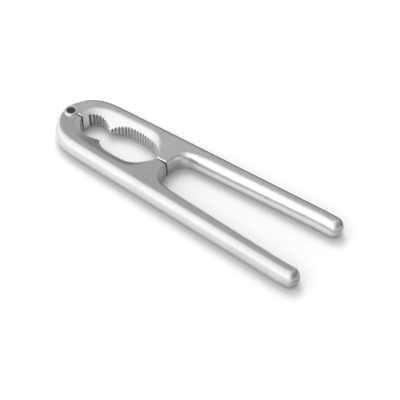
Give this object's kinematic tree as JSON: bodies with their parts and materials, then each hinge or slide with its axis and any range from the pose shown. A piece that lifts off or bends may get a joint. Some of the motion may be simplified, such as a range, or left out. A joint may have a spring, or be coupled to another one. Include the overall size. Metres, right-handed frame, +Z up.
{
  "type": "nutcracker",
  "caption": "Hand nutcracker: mirror-image cast levers hinged at one end, with a small and a large toothed hollow between them and rounded handles.",
  "frame": {"origin": "on the pivot axis, in the plane of the underside, at the rivet's clinched end", "axes": "+X from the pivot towards the handle tips, +Y towards the fork lever, +Z up along the pivot axis, out of the flat top; the closed tool is symmetric about the plane Y = 0"},
  "size_m": [0.1873, 0.0556, 0.0136],
  "materials": {
    "casting": "satin, fine blasted, rubbed smoother on the rounded edges",
    "rivet": "polished",
    "washer": "satin"
  },
  "bodies": {
    "fork": {"fork_lever": "casting", "pivot_rivet": "rivet", "rivet_washer": "washer"},
    "tongue": {"tongue_lever": "casting"}
  },
  "joints": [
    {"name": "lever_pivot", "type": "hinge", "parent": "fork", "child": "tongue", "pos_m": [0, 0, 0.0064], "axis": [0, 0, -1], "range_deg": [0, 60]}
  ]
}
